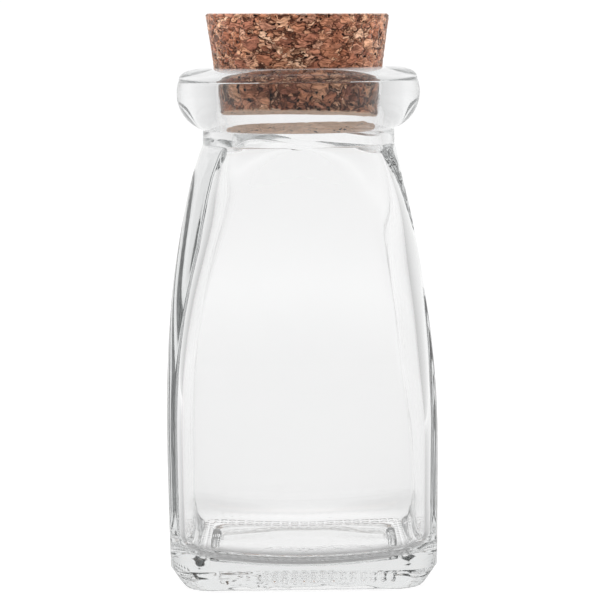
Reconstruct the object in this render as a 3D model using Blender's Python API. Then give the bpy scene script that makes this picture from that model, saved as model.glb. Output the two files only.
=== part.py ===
"""Square glass bottle with a rolled lip, closed by a tapered cork stopper.

The bottle is one hollow moulding. A rounded-square body stands on a flat bearing ring
round a shallow push-up, its four flanks lean in along one long arc, and the corners
round over into a short round neck under a bulging lip. The cork is one agglomerated
cork frustum that wedges in the mouth and lifts straight out.

Metres, +Z up. The origin is the middle of the base, on the surface it stands on.
"""

import math

import bmesh
import bpy
from mathutils import Vector

MM = 0.001

# Body
GLASS_HEIGHT = 92.1 * MM  # resting surface to the top of the lip
BODY_WIDTH = 48.0 * MM  # across the flats at the widest
BODY_CORNER_RADIUS = 5.2 * MM  # upright edges, outside
BODY_DRAFT = 0.25 * MM  # how far each side draws in from the widest down to the heel
SHOULDER_START = 27.0 * MM  # height where the sides are widest and begin to lean in
SHOULDER_ROUNDING = 4.4 * MM  # height over which the corners round into the neck
WALL = 2.4 * MM  # side walls
WALL_GROWTH = 1.6  # how late up the shoulder the wall thickens; 1 is evenly
INNER_CORNER_RADIUS = 2.4 * MM  # upright edges, inside

# Base
HEEL_HEIGHT = 4.2 * MM  # side wall slants under from here down to the resting surface
HEEL_INSET = 2.7 * MM  # and draws in by this much
HEEL_ROUNDING = 1.2  # 1 is a straight slant; more rounds its foot
BASE_CORNER_RADIUS = 4.6 * MM  # corners of the bearing ring, in plan
BEARING_WIDTH = 3.2 * MM  # flat ring that the bottle stands on
PUSH_UP = 1.3 * MM  # rise of the underside inside the bearing ring
BASE_THICKNESS = 3.6 * MM  # glass under the edge of the floor
FLOOR_CROWN = 0.6 * MM  # rise of the inside floor over the push-up
INNER_HEEL_RADIUS = 2.6 * MM  # side wall to floor, inside

# Neck and lip
NECK_DIAMETER = 35.0 * MM
NECK_LENGTH = 2.6 * MM  # bare neck between the shoulder and the lip
NECK_WALL = 3.8 * MM
LIP_DIAMETER = 44.3 * MM
LIP_BULGE_RADIUS = 7.0 * MM  # arc of the lip's side, seen in section
LIP_WIDEST_BELOW_TOP = 4.7 * MM
CROWN_HEIGHT = 2.3 * MM  # top of the lip above the crease round it
RIM_RADIUS = 1.0 * MM  # inner edge of the mouth
MOUTH_DIAMETER = 31.2 * MM  # bore under the rim, where the cork wedges
BELLY_SWELL = 0.45 * MM  # how much further out the bore is below the rim
SEAT_DEPTH = 6.6 * MM  # top of the lip to where the belly starts to close in
SEAT_HEIGHT = 3.8 * MM  # smooth step from the belly down to the neck's bore
INNER_SHOULDER_DROP = 0.8 * MM  # inner shoulder below the outer one, so the neck is thicker
INNER_SHOULDER_ROUNDING = 1.4 * MM  # height over which the hollow's corners round into the neck

# Cork
CORK_HEIGHT = 16.7 * MM
CORK_PROUD = 9.8 * MM  # how far it stands above the lip
CORK_TAPER = math.radians(7.6)  # lean of its side from upright
CORK_CHAMFER = 0.35 * MM
CORK_CLEARANCE = 0.3 * MM  # between the cork and the mouth at the rim

# Facets
QUARTER_POINTS = 16  # points on a quarter of each section
CORNER_CROWDING = math.radians(9.0)  # pulls those points towards the corners
CORK_SEGMENTS = 64

GLASS_COLOUR = (0.93, 0.95, 0.945, 1.0)
CORK_COLOUR = (0.56, 0.33, 0.20, 1.0)


def arc(steps, start, end):
    """Angles from start to end in equal steps, both ends included."""
    return [start + (end - start) * i / steps for i in range(steps + 1)]


def eased(share):
    """Smooth step from 0 to 1, level at both ends."""
    return share * share * (3 - 2 * share)


def eased_share(value):
    """The share at which the smooth step has a value."""
    return 0.5 - math.sin(math.asin(1 - 2 * value) / 3)


def section_reach(angle, half_width, corner):
    """Distance from the axis to the outline of a rounded square, along a direction."""
    fold = abs((angle + math.pi / 4) % (math.pi / 2) - math.pi / 4)
    straight = half_width - corner
    if math.tan(fold) * half_width <= straight:
        return half_width / math.cos(fold)
    inside = corner**2 - straight**2 * (1 - math.sin(2 * fold))
    return straight * (math.cos(fold) + math.sin(fold)) + math.sqrt(max(inside, 0.0))


def section_angles():
    """Directions of a section's points, closer together at the body's corners."""
    angles = []
    for quarter in range(4):
        for i in range(QUARTER_POINTS):
            share = i / QUARTER_POINTS
            crowd = CORNER_CROWDING * math.sin(2 * math.pi * share)
            angles.append((quarter + share) * math.pi / 2 + crowd)
    return angles


class Profile:
    """Heights and half-widths that the outside and the inside of the glass share."""

    widest = BODY_WIDTH / 2
    neck = NECK_DIAMETER / 2
    neck_bore = NECK_DIAMETER / 2 - NECK_WALL
    mouth = MOUTH_DIAMETER / 2
    belly = mouth + BELLY_SWELL
    bulge_centre = LIP_DIAMETER / 2 - LIP_BULGE_RADIUS
    bulge_height = GLASS_HEIGHT - LIP_WIDEST_BELOW_TOP
    crease_height = GLASS_HEIGHT - CROWN_HEIGHT
    # The lip's arc leaves the neck where it is as wide as the neck.
    lip_foot_angle = -math.acos((neck - bulge_centre) / LIP_BULGE_RADIUS)
    crease_angle = math.asin((crease_height - bulge_height) / LIP_BULGE_RADIUS)
    neck_top = bulge_height + LIP_BULGE_RADIUS * math.sin(lip_foot_angle)
    shoulder_top = neck_top - NECK_LENGTH
    # One arc, upright at the widest, meets the neck at the top of the shoulder.
    rise = shoulder_top - SHOULDER_START
    lean = widest - neck
    shoulder_radius = (rise**2 + lean**2) / (2 * lean)

    @classmethod
    def side(cls, height):
        """Half-width of the outside of the body at a height between heel and neck."""
        if height < SHOULDER_START:
            below = (SHOULDER_START - height) / (SHOULDER_START - HEEL_HEIGHT)
            return cls.widest - BODY_DRAFT * below**2
        up = height - SHOULDER_START
        return cls.widest - (cls.shoulder_radius - math.sqrt(cls.shoulder_radius**2 - up**2))

    @staticmethod
    def rounded_over(height, top, rounding, half_width, corner):
        """Corner radius at a height: it grows up to the top, where the section is round."""
        share = (height - (top - rounding)) / rounding
        share = min(max(share, 0.0), 1.0)
        return corner + (half_width - corner) * (1 - math.sqrt(1 - share**2))


class Stopper:
    """Sizes of the cork, worked out from the mouth that it wedges in."""

    bottom = GLASS_HEIGHT + CORK_PROUD - CORK_HEIGHT
    rim = GLASS_HEIGHT - RIM_RADIUS
    rim_radius = Profile.mouth - CORK_CLEARANCE / math.cos(CORK_TAPER)
    low_radius = rim_radius - (rim - bottom) * math.tan(CORK_TAPER)
    top_radius = low_radius + CORK_HEIGHT * math.tan(CORK_TAPER)


class Hollow:
    """Heights and half-widths of the inside, fitted to the cork above and the body below."""

    # A long cork pushes the seat down, so that its curve passes the cork's lower edge
    # with the clearance between them.
    step = Profile.belly - Profile.neck_bore
    passing = (Profile.belly - Stopper.low_radius - CORK_CLEARANCE) / step
    under_cork = Stopper.bottom + SEAT_HEIGHT * eased_share(min(max(passing, 0.0), 1.0))
    seat_top = min(GLASS_HEIGHT - SEAT_DEPTH, under_cork)
    seat_foot = seat_top - SEAT_HEIGHT
    shoulder_top = min(Profile.shoulder_top - INNER_SHOULDER_DROP, seat_foot)
    shoulder_wall = Profile.side(shoulder_top) - Profile.neck_bore

    @classmethod
    def side(cls, height):
        """Half-width of the cavity: the wall grows from the body's to the neck's."""
        share = max(0.0, (height - SHOULDER_START) / (cls.shoulder_top - SHOULDER_START))
        return Profile.side(height) - (WALL + (cls.shoulder_wall - WALL) * share**WALL_GROWTH)


def shoulder_heights(top, rounding, even_steps, round_steps):
    """Heights up the shoulder: even over the arc, then closing in on its top."""
    start = top - rounding
    heights = [SHOULDER_START + (start - SHOULDER_START) * i / even_steps for i in range(even_steps)]
    heights += [start + rounding * math.sin(a) for a in arc(round_steps, 0, math.pi / 2)]
    return heights


def domed(half_width, corner, share):
    """Half-width and corner radius of a dome's ring, square at its edge and round inside."""
    half = half_width * share
    return half, half * (1 - share) + corner * share**2


def outer_rings():
    """(half-width, corner radius, height) from the middle of the underside up to the crest."""
    foot = Profile.side(HEEL_HEIGHT)
    bearing_outer = foot - HEEL_INSET
    bearing_inner = bearing_outer - BEARING_WIDTH
    inner_corner = BASE_CORNER_RADIUS * bearing_inner / bearing_outer
    rings = []
    for share in (0.3, 0.6, 0.85):
        rings.append((*domed(bearing_inner, inner_corner, share), PUSH_UP * (1 - share**2)))
    rings.append((bearing_inner, inner_corner, 0.0))
    for share in arc(6, 0.0, 1.0):
        under = 1 - share
        corner = BODY_CORNER_RADIUS + (BASE_CORNER_RADIUS - BODY_CORNER_RADIUS) * under
        rings.append((foot - HEEL_INSET * under, corner, HEEL_HEIGHT * share**HEEL_ROUNDING))
    middle = (HEEL_HEIGHT + SHOULDER_START) / 2
    rings.append((Profile.side(middle), BODY_CORNER_RADIUS, middle))
    top = Profile.shoulder_top
    for height in shoulder_heights(top, SHOULDER_ROUNDING, 7, 6):
        half = Profile.side(height)
        corner = Profile.rounded_over(height, top, SHOULDER_ROUNDING, half, BODY_CORNER_RADIUS)
        rings.append((half, corner, height))
    for a in arc(9, Profile.lip_foot_angle, Profile.crease_angle):
        half = Profile.bulge_centre + LIP_BULGE_RADIUS * math.cos(a)
        rings.append((half, half, Profile.bulge_height + LIP_BULGE_RADIUS * math.sin(a)))
    crease = rings[-1][0]
    crest = Profile.mouth + RIM_RADIUS
    for a in arc(5, 0, math.pi / 2)[1:]:
        half = crest + (crease - crest) * math.cos(a)
        rings.append((half, half, Profile.crease_height + CROWN_HEIGHT * math.sin(a)))
    return rings


def inner_rings():
    """(half-width, corner radius, height) from the rim of the mouth down to the floor."""
    rings = []
    for a in arc(4, 0, math.pi / 2)[1:]:
        half = Profile.mouth + RIM_RADIUS * (1 - math.sin(a))
        rings.append((half, half, GLASS_HEIGHT - RIM_RADIUS * (1 - math.cos(a))))
    for a in arc(3, 0, math.pi / 2)[1:]:
        half = Profile.mouth + (Profile.belly - Profile.mouth) * math.sin(a)
        share = a / (math.pi / 2)
        rings.append((half, half, Stopper.rim + (Hollow.seat_top - Stopper.rim) * share))
    for share in arc(6, 0.0, 1.0)[1:]:
        half = Profile.belly - Hollow.step * eased(share)
        rings.append((half, half, Hollow.seat_top - SEAT_HEIGHT * share))
    top = Hollow.shoulder_top
    for height in reversed(shoulder_heights(top, INNER_SHOULDER_ROUNDING, 7, 4)):
        half = Hollow.side(height)
        corner = Profile.rounded_over(height, top, INNER_SHOULDER_ROUNDING, half, INNER_CORNER_RADIUS)
        rings.append((half, corner, height))
    heel_top = BASE_THICKNESS + INNER_HEEL_RADIUS
    foot = Hollow.side(heel_top)
    for a in arc(4, 0, math.pi / 2):
        inset = INNER_HEEL_RADIUS * (1 - math.cos(a))
        height = heel_top - INNER_HEEL_RADIUS * math.sin(a)
        rings.append((foot - inset, INNER_CORNER_RADIUS, height))
    floor = foot - INNER_HEEL_RADIUS
    for share in (0.75, 0.4):
        height = BASE_THICKNESS + FLOOR_CROWN * (1 - share**2)
        rings.append((*domed(floor, INNER_CORNER_RADIUS, share), height))
    return rings


def placed(points, ring):
    """Moves points, each along its own direction from the axis, onto a ring."""
    half, corner, height = ring
    for point in points:
        angle = math.atan2(point.co.y, point.co.x)
        reach = section_reach(angle, half, corner)
        point.co = (reach * math.cos(angle), reach * math.sin(angle), height)


def lofted(name, rings, first_centre, last_centre):
    """One closed skin drawn up through the rings, closed to a point at each end."""
    mesh = bmesh.new()
    angles = section_angles()
    bmesh.ops.create_circle(mesh, cap_ends=True, cap_tris=True, segments=len(angles), radius=1)
    middle = min(mesh.verts, key=lambda point: point.co.length)
    outline = [point for point in mesh.verts if point is not middle]
    outline.sort(key=lambda point: math.atan2(point.co.y, point.co.x) % math.tau)
    for point, angle in zip(outline, angles):
        point.co = (math.cos(angle), math.sin(angle), 0)
    middle.co = (0, 0, first_centre)
    placed(outline, rings[0])
    edge = [e for e in mesh.edges if e.is_boundary]
    for ring in rings[1:]:
        drawn = bmesh.ops.extrude_edge_only(mesh, edges=edge)["geom"]
        placed([item for item in drawn if isinstance(item, bmesh.types.BMVert)], ring)
        edge = [item for item in drawn if isinstance(item, bmesh.types.BMEdge) and item.is_boundary]
    drawn = bmesh.ops.extrude_edge_only(mesh, edges=edge)["geom"]
    tip = [item for item in drawn if isinstance(item, bmesh.types.BMVert)]
    bmesh.ops.pointmerge(mesh, verts=tip, merge_co=(0, 0, last_centre))
    bmesh.ops.recalc_face_normals(mesh, faces=mesh.faces)
    return finished(name, mesh)


def finished(name, mesh):
    """A scene object from a bmesh, shaded smooth over its gentle edges."""
    data = bpy.data.meshes.new(name)
    mesh.to_mesh(data)
    mesh.free()
    data.shade_smooth()
    data.set_sharp_from_angle(angle=math.radians(35))
    obj = bpy.data.objects.new(name, data)
    bpy.context.scene.collection.objects.link(obj)
    return obj


def glass_bottle():
    """The moulding: outside from the push-up to the crest, then inside down to the floor."""
    rings = outer_rings() + inner_rings()
    floor_middle = BASE_THICKNESS + FLOOR_CROWN
    obj = lofted("glass_bottle", rings, PUSH_UP, floor_middle)
    obj.data.materials.append(glass())
    return obj


def cork_stopper():
    """The frustum, sized from the mouth so that it stops against the rim."""
    mesh = bmesh.new()
    bmesh.ops.create_cone(
        mesh,
        cap_ends=True,
        segments=CORK_SEGMENTS,
        radius1=Stopper.low_radius,
        radius2=Stopper.top_radius,
        depth=CORK_HEIGHT,
    )
    bmesh.ops.translate(mesh, vec=Vector((0, 0, CORK_HEIGHT / 2)), verts=mesh.verts)
    rims = [e for e in mesh.edges if abs(e.verts[0].co.z - e.verts[1].co.z) < CORK_HEIGHT / 2]
    bmesh.ops.bevel(mesh, geom=rims, offset=CORK_CHAMFER, segments=2, profile=0.5, affect="EDGES", material=-1)
    obj = finished("cork_stopper", mesh)
    obj.location.z = Stopper.bottom
    obj.data.materials.append(cork())
    return obj


def material(name, colour, roughness, transmission=0.0):
    """A plain Principled surface."""
    made = bpy.data.materials.new(name)
    made.use_nodes = True
    made.diffuse_color = colour
    shader = made.node_tree.nodes["Principled BSDF"]
    shader.inputs["Base Color"].default_value = colour
    shader.inputs["Metallic"].default_value = 0.0
    shader.inputs["Roughness"].default_value = roughness
    shader.inputs["Transmission Weight"].default_value = transmission
    return made


def glass():
    """Clear soda-lime glass."""
    return material("clear_glass", GLASS_COLOUR, 0.02, transmission=1.0)


def cork():
    """Agglomerated cork."""
    return material("agglomerated_cork", CORK_COLOUR, 0.85)


def main():
    """Clears the scene and builds the bottle with its stopper in the mouth."""
    for obj in list(bpy.data.objects):
        bpy.data.objects.remove(obj)
    root = bpy.data.objects.new("bottle_with_cork", None)
    bpy.context.scene.collection.objects.link(root)
    for piece in (glass_bottle(), cork_stopper()):
        piece.parent = root


main()
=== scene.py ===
"""Looks of a square glass bottle closed by a tapered cork stopper.

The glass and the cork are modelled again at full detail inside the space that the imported
solids hold, each on its own body, and photographed in a white studio. Metres, +Z up, with
the origin in the middle of the base.
"""

import logging
import math
from dataclasses import dataclass
from enum import Enum
from typing import Iterator, NamedTuple

import bmesh
import bpy
from mathutils import Matrix, Vector, noise


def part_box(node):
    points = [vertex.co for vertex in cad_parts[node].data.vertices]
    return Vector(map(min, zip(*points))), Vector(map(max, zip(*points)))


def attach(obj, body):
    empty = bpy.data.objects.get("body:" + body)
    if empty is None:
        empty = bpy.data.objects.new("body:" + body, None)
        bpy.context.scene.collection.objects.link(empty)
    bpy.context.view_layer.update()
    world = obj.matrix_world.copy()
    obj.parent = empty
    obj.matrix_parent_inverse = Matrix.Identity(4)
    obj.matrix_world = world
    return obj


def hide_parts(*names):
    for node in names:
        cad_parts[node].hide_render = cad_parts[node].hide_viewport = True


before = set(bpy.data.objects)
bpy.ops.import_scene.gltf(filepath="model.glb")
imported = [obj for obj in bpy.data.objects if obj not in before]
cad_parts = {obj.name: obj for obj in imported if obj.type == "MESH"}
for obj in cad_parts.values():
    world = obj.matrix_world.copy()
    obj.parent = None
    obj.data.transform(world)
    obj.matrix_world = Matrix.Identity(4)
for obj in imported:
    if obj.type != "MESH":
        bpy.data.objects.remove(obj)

LOG = logging.getLogger("bottle")
MM = 0.001
QUARTER_TURN = math.pi / 2
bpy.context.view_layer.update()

Colour = tuple[float, float, float, float]
Step = tuple[float, float]  # the two places, or the two results, of a smooth step
Table = tuple[tuple[float, float], ...]  # places in rising order, each with its value

WHITE: Colour = (1.0, 1.0, 1.0, 1.0)


class Body(str, Enum):
    """The bodies that the pieces ride on."""

    BOTTLE = "bottle"
    CORK = "cork"


class Slot(str, Enum):
    """The record's material slots."""

    GLASS = "clear_glass"
    CORK = "agglomerated_cork"


def shares(steps: int, skip: int = 0, drop: int = 0) -> Iterator[float]:
    """Even shares from 0 to 1.

    Args:
        steps: How many steps lie between 0 and 1.
        skip: How many shares are left out at the start.
        drop: How many shares are left out at the end.

    Returns:
        The shares, both ends included unless they are left out.
    """
    return (i / steps for i in range(skip, steps + 1 - drop))


def between(start: float, end: float, share: float) -> float:
    """The number at a share of the way from one number to another."""
    return start + (end - start) * share


def clamped(share: float) -> float:
    """A share kept from 0 to 1."""
    return min(1.0, max(0.0, share))


def eased(share: float) -> float:
    """Smooth step from 0 to 1, level at both ends."""
    return share * share * (3 - 2 * share)


def linked(name: str, data: bpy.types.ID) -> bpy.types.Object:
    """Puts a new object in the scene.

    Args:
        name: The object's name.
        data: The mesh, light or camera that it shows.

    Returns:
        The object, at the origin.
    """
    made = bpy.data.objects.new(name, data)
    bpy.context.scene.collection.objects.link(made)
    return made


def finished(name: str, mesh: bmesh.types.BMesh) -> bpy.types.Object:
    """Makes a scene object of a finished mesh.

    Args:
        name: The piece's name.
        mesh: The bmesh, which is freed.

    Returns:
        The object, at the origin.
    """
    data = bpy.data.meshes.new(name)
    mesh.to_mesh(data)
    mesh.free()
    return linked(name, data)


class Nodes:
    """A short way to lay out a node tree."""

    def __init__(self, tree: bpy.types.NodeTree) -> None:
        """Empties the tree and keeps it."""
        self.tree = tree
        tree.nodes.clear()

    def add(self, kind: str, **settings: object) -> bpy.types.Node:
        """Adds a node.

        Args:
            kind: The node's type name, such as ShaderNodeMath.
            settings: Properties of the node, and sockets whose names start with in_.

        Returns:
            The new node.
        """
        node = self.tree.nodes.new(kind)
        for key, value in settings.items():
            if not key.startswith("in_"):
                setattr(node, key, value)
        for key, value in settings.items():
            if key.startswith("in_"):
                self.feed(node, key[3:], value)
        return node

    def feed(self, node: bpy.types.Node, key: str, value: object) -> None:
        """Sets one socket, or links it where the value is an output or a node.

        Args:
            node: The node that has the socket.
            key: The socket's number or name, with _ for a space.
            value: A number, a colour, a socket or a node.
        """
        socket = node.inputs[int(key)] if key.isdigit() else node.inputs[key.replace("_", " ")]
        if isinstance(value, bpy.types.Node):
            value = value.outputs[0]
        if isinstance(value, bpy.types.NodeSocket):
            self.tree.links.new(value, socket)
        else:
            socket.default_value = value

    def math(self, operation: str, *values: object) -> bpy.types.Node:
        """A Math node on the given values."""
        settings = {f"in_{i}": value for i, value in enumerate(values)}
        return self.add("ShaderNodeMath", operation=operation, **settings)

    def vector(self, operation: str, *values: object) -> bpy.types.Node:
        """A Vector Math node on the given vectors."""
        settings = {f"in_{i}": value for i, value in enumerate(values)}
        return self.add("ShaderNodeVectorMath", operation=operation, **settings)

    def scaled(self, vector: object, factor: object) -> bpy.types.Node:
        """A vector times a number."""
        return self.add("ShaderNodeVectorMath", operation="SCALE", in_0=vector, in_Scale=factor)

    def centred(self, vector: object) -> bpy.types.Node:
        """A vector of numbers from 0 to 1, moved to lie about 0."""
        return self.vector("SUBTRACT", vector, (0.5, 0.5, 0.5))

    def split(self, vector: object) -> bpy.types.Node:
        """A vector's three numbers."""
        return self.add("ShaderNodeSeparateXYZ", in_0=vector)

    def spread(
        self, value: object, low: object, high: object, start: object, end: object
    ) -> bpy.types.Node:
        """Maps low..high to start..end in a smooth step.

        Args:
            value: The value to map.
            low: Where the step begins.
            high: Where the step ends.
            start: The result at and below low.
            end: The result at and above high.

        Returns:
            The Map Range node.
        """
        return self.add(
            "ShaderNodeMapRange",
            interpolation_type="SMOOTHSTEP",
            in_Value=value,
            in_1=low,
            in_2=high,
            in_3=start,
            in_4=end,
        )

    def mixed(self, factor: object, first: object, second: object) -> bpy.types.NodeSocket:
        """A mix of two numbers."""
        settings = {"in_0": factor, "in_2": first, "in_3": second}
        return self.add("ShaderNodeMix", data_type="FLOAT", **settings).outputs[0]

    def blended(
        self, factor: object, first: object, second: object, mode: str = "MIX"
    ) -> bpy.types.NodeSocket:
        """A mix of two colours.

        Args:
            factor: Share of the second colour.
            first: The colour at a factor of 0.
            second: The colour at a factor of 1.
            mode: How the two are blended.

        Returns:
            The mixed colour's socket.
        """
        settings = {"in_0": factor, "in_6": first, "in_7": second}
        return self.add("ShaderNodeMix", data_type="RGBA", blend_type=mode, **settings).outputs[2]

    def noise(
        self, vector: object, scale: float, detail: float = 2.0, rough: float = 0.5
    ) -> bpy.types.Node:
        """A Noise node.

        Args:
            vector: Where it is read.
            scale: Ripples to a unit of length.
            detail: How many finer levels it has.
            rough: How strong the finer levels are.

        Returns:
            The node, whose first output is a number and whose second is a colour.
        """
        settings = {"in_Scale": scale, "in_Detail": detail, "in_Roughness": rough}
        return self.add("ShaderNodeTexNoise", in_Vector=vector, **settings)

    def cells(self, vector: object, scale: float, feature: str = "F1") -> bpy.types.Node:
        """A Voronoi node."""
        return self.add("ShaderNodeTexVoronoi", feature=feature, in_Vector=vector, in_Scale=scale)

    def ramp(
        self, value: object, stops: tuple[tuple[float, tuple[float, ...]], ...]
    ) -> bpy.types.Node:
        """A colour ramp.

        Args:
            value: What picks the colour.
            stops: Places from 0 to 1 and their linear colours.

        Returns:
            The ramp node.
        """
        node = self.add("ShaderNodeValToRGB", in_0=value)
        while len(node.color_ramp.elements) < len(stops):
            node.color_ramp.elements.new(0.5)
        for element, (place, colour) in zip(node.color_ramp.elements, stops):
            element.position = place
            element.color = (*colour, 1.0)
        return node


def new_finish(name: str) -> tuple[bpy.types.Material, Nodes]:
    """Starts a material.

    Args:
        name: The material's name.

    Returns:
        The material, and its emptied node tree.
    """
    made = bpy.data.materials.new(name)
    made.use_nodes = True
    return made, Nodes(made.node_tree)


@dataclass(frozen=True)
class ClearGlass:
    """Clear soda-lime glass, a little grey where light passes through a lot of it."""

    colour: Colour = WHITE
    index: float = 1.52
    absorbed: Colour = (0.905, 0.91, 0.91, 1.0)
    density: float = 50.0

    def material(self) -> bpy.types.Material:
        """Builds the material.

        Returns:
            A smooth transmitting surface over a faintly absorbing volume.
        """
        made, nodes = new_finish("clear_glass_finish")
        surface = nodes.add(
            "ShaderNodeBsdfPrincipled",
            in_Base_Color=self.colour,
            in_Roughness=0.0,
            in_IOR=self.index,
            in_Transmission_Weight=1.0,
        )
        volume = nodes.add(
            "ShaderNodeVolumeAbsorption", in_Color=self.absorbed, in_Density=self.density
        )
        nodes.add("ShaderNodeOutputMaterial", in_Surface=surface, in_Volume=volume)
        return made


class Granules(NamedTuple):
    """What the granule pattern gives at a point, as sockets or nodes of one tree.

    Attributes:
        pick: Random number of the granule, from 0 to 1.
        hue: A second random number of the granule.
        streak: Fine fibres inside the granule, from 0 to 1.
        ridge: 0 on the granule's growth lines and 1 off them.
        body: 0 in the seams between granules and 1 on a granule.
        solid: 0 in the open pits and 1 off them.
        swell: 0 at the granule's rim and 1 well inside it.
    """

    pick: object
    hue: object
    streak: object
    ridge: object
    body: object
    solid: object
    swell: object


@dataclass(frozen=True)
class GranulePattern:
    """Pressed cork granules, laid out alike in the material and in the relief.

    Scales are granules or ripples to a millimetre, and widths and shifts are millimetres.
    """

    flatness: float = 1.45
    coarse: float = 0.44
    fine: float = 0.95
    split: float = 0.5
    warp: float = 3.0
    warp_scale: float = 0.45
    fray: float = 0.5
    fray_scale: float = 2.6
    tilt: float = math.radians(120)
    streak_stretch: tuple[float, float, float] = (0.5, 0.5, 2.6)
    streak_detail: float = 2.5
    streak_rough: float = 0.6
    ridge_stretch: tuple[float, float, float] = (0.35, 0.35, 1.7)
    ridge_width: float = 0.035
    gap_scale: float = 0.55
    gap_step: Step = (0.4, 0.66)
    gap: Step = (0.05, 0.3)
    pit_scale: float = 1.2
    pit_step: Step = (0.5, 1.0)
    pit_reach: float = 0.36
    pit_edge: Step = (-0.03, 0.07)
    swell_width: float = 0.5

    def lay(self, nodes: Nodes, place: object) -> Granules:
        """Lays the pattern's nodes.

        Args:
            nodes: The tree to lay them in.
            place: Position on the cork in metres.

        Returns:
            The sockets that a finish or a relief is made from.
        """
        point = nodes.vector("MULTIPLY", nodes.scaled(place, 1 / MM), (1.0, 1.0, self.flatness))
        bend = nodes.centred(nodes.noise(point, self.warp_scale).outputs[1])
        tear = nodes.centred(nodes.noise(point, self.fray_scale).outputs[1])
        bent = nodes.vector("ADD", point, nodes.scaled(bend, self.warp))
        frayed = nodes.vector("ADD", bent, nodes.scaled(tear, self.fray))
        rim, key = self.clumps(nodes, frayed)
        parts = nodes.split(key)
        streak, ridge = self.fibres(nodes, bent, key)
        room = nodes.spread(nodes.noise(point, self.gap_scale, 1.0), *self.gap_step, *self.gap)
        body = nodes.spread(rim, 0.0, room, 0.0, 1.0)
        solid = self.pits(nodes, frayed)
        swell = nodes.spread(rim, 0.0, self.swell_width, 0.0, 1.0)
        return Granules(parts.outputs[0], parts.outputs[1], streak, ridge, body, solid, swell)

    def clumps(self, nodes: Nodes, frayed: object) -> tuple[object, object]:
        """Large granules, some of them broken into small ones.

        Args:
            nodes: The tree to lay the nodes in.
            frayed: The bent position, in millimetres.

        Returns:
            The distance to the granule's rim, and the granule's random colour.
        """
        large, small = (nodes.cells(frayed, scale) for scale in (self.coarse, self.fine))
        is_split = nodes.math("LESS_THAN", nodes.split(large.outputs["Color"]).outputs[1], self.split)
        far, near = (self.to_rim(nodes, frayed, scale) for scale in (self.coarse, self.fine))
        rim = nodes.mixed(is_split, far, nodes.math("MINIMUM", far, near))
        return rim, nodes.blended(is_split, large.outputs["Color"], small.outputs["Color"])

    @staticmethod
    def to_rim(nodes: Nodes, frayed: object, scale: float) -> bpy.types.Node:
        """Millimetres to the rim between cells of a scale."""
        edge = nodes.cells(frayed, scale, "DISTANCE_TO_EDGE")
        return nodes.math("DIVIDE", edge.outputs["Distance"], scale)

    def fibres(self, nodes: Nodes, bent: object, key: object) -> tuple[object, object]:
        """Fibres and growth lines of each granule, turned its own way.

        Args:
            nodes: The tree to lay the nodes in.
            bent: The bent position, in millimetres.
            key: The granule's random colour.

        Returns:
            The streak and the ridge of the pattern.
        """
        spin = nodes.math("SUBTRACT", nodes.split(key).outputs[2], 0.5)
        turned = nodes.add(
            "ShaderNodeVectorRotate",
            rotation_type="AXIS_ANGLE",
            in_Vector=bent,
            in_Axis=nodes.centred(key),
            in_Angle=nodes.math("MULTIPLY", spin, self.tilt),
        )
        grain = nodes.vector("MULTIPLY", turned, self.streak_stretch)
        streak = nodes.noise(grain, 1.0, self.streak_detail, self.streak_rough)
        ring = nodes.noise(nodes.vector("MULTIPLY", turned, self.ridge_stretch), 1.0, 1.0)
        off_line = nodes.math("ABSOLUTE", nodes.math("SUBTRACT", ring, 0.5))
        return streak.outputs[0], nodes.spread(off_line, 0.0, self.ridge_width, 0.0, 1.0)

    def pits(self, nodes: Nodes, frayed: object) -> bpy.types.Node:
        """Open pits, each of its own size.

        Args:
            nodes: The tree to lay the nodes in.
            frayed: The bent position, in millimetres.

        Returns:
            The node that gives 0 in a pit and 1 off it.
        """
        hollow = nodes.cells(frayed, self.pit_scale)
        size = nodes.split(hollow.outputs["Color"]).outputs[0]
        reach = nodes.spread(size, *self.pit_step, 0.0, self.pit_reach)
        away = nodes.math("DIVIDE", hollow.outputs["Distance"], self.pit_scale)
        return nodes.spread(nodes.math("SUBTRACT", away, reach), *self.pit_edge, 0.0, 1.0)


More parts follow.
